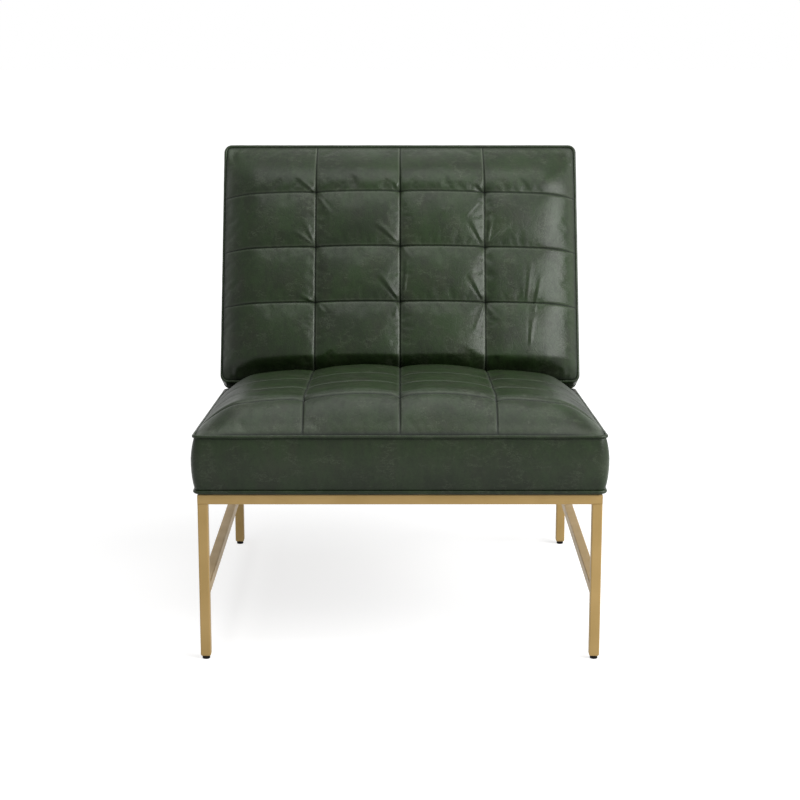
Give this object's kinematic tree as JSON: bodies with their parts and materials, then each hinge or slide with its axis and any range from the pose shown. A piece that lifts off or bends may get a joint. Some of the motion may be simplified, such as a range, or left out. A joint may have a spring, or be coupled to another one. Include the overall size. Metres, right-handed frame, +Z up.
{
  "type": "armless lounge chair",
  "caption": "Low armless lounge chair: tufted leather seat and reclined back on a square-tube metal frame with side stretchers and levelling feet.",
  "frame": {"origin": "on the floor, under the middle of the chair's bounding box", "axes": "+Z up; the sitter faces -Y; +X is to the right for someone looking at the chair's front"},
  "size_m": [0.7626, 0.8254, 0.8952],
  "materials": {
    "leather": "semi-gloss waxed dark green leather",
    "piping": "same leather rolled over a cord",
    "brass_frame": "satin antique-brass lacquer on steel tube",
    "steel_parts": "zinc plated",
    "glide": "matte black",
    "hardwood": "raw",
    "foam": "polyurethane foam",
    "webbing": "woven",
    "dust_cloth": "black non-woven cloth"
  },
  "bodies": {
    "chair": {"seat_cover": "leather", "back_cover": "leather", "back_rear_panel": "leather", "seat_top_piping": "piping", "seat_low_piping": "piping", "back_front_piping": "piping", "back_rear_piping": "piping", "front_left_leg": "brass_frame", "front_right_leg": "brass_frame", "rear_left_post": "brass_frame", "rear_right_post": "brass_frame", "front_rail": "brass_frame", "rear_rail": "brass_frame", "left_rail": "brass_frame", "right_rail": "brass_frame", "seat_support_rail": "brass_frame", "left_stretcher": "brass_frame", "right_stretcher": "brass_frame", "back_crossbar": "brass_frame", "crossbar_cap_left": "brass_frame", "crossbar_cap_right": "brass_frame", "seat_tab_front_left": "brass_frame", "seat_tab_front_right": "brass_frame", "seat_tab_rear_left": "brass_frame", "seat_tab_rear_right": "brass_frame", "back_bracket_left": "steel_parts", "back_bracket_right": "steel_parts", "back_bracket_left_low_screw": "steel_parts", "back_bracket_right_low_screw": "steel_parts", "back_bracket_left_high_screw": "steel_parts", "back_bracket_right_high_screw": "steel_parts", "crossbar_bolt_left": "steel_parts", "crossbar_bolt_right": "steel_parts", "seat_tab_front_left_screw": "steel_parts", "seat_tab_front_right_screw": "steel_parts", "seat_tab_rear_left_screw": "steel_parts", "seat_tab_rear_right_screw": "steel_parts", "front_left_leg_nut": "steel_parts", "front_right_leg_nut": "steel_parts", "rear_left_leg_nut": "steel_parts", "rear_right_leg_nut": "steel_parts", "seat_board_front": "hardwood", "seat_board_rear": "hardwood", "seat_board_left": "hardwood", "seat_board_right": "hardwood", "back_board_left": "hardwood", "back_board_right": "hardwood", "back_board_low": "hardwood", "back_board_middle": "hardwood", "back_board_top": "hardwood", "seat_foam": "foam", "back_foam": "foam", "seat_webbing": "webbing", "back_webbing": "webbing", "seat_dust_cover": "dust_cloth"},
    "front_left_glide": {"front_left_foot": "glide"},
    "front_right_glide": {"front_right_foot": "glide"},
    "rear_left_glide": {"rear_left_foot": "glide"},
    "rear_right_glide": {"rear_right_foot": "glide"}
  },
  "joints": [
    {"name": "front_left_foot_turn", "type": "hinge", "parent": "chair", "child": "front_left_glide", "pos_m": [-0.36097, -0.38881, 0], "axis": [0, 0, 1], "continuous": true},
    {"name": "front_right_foot_turn", "type": "hinge", "parent": "chair", "child": "front_right_glide", "pos_m": [0.36097, -0.38881, 0], "axis": [0, 0, 1], "continuous": true},
    {"name": "rear_left_foot_turn", "type": "hinge", "parent": "chair", "child": "rear_left_glide", "pos_m": [-0.36097, 0.37264, 0], "axis": [0, 0, 1], "continuous": true},
    {"name": "rear_right_foot_turn", "type": "hinge", "parent": "chair", "child": "rear_right_glide", "pos_m": [0.36097, 0.37264, 0], "axis": [0, 0, 1], "continuous": true}
  ]
}
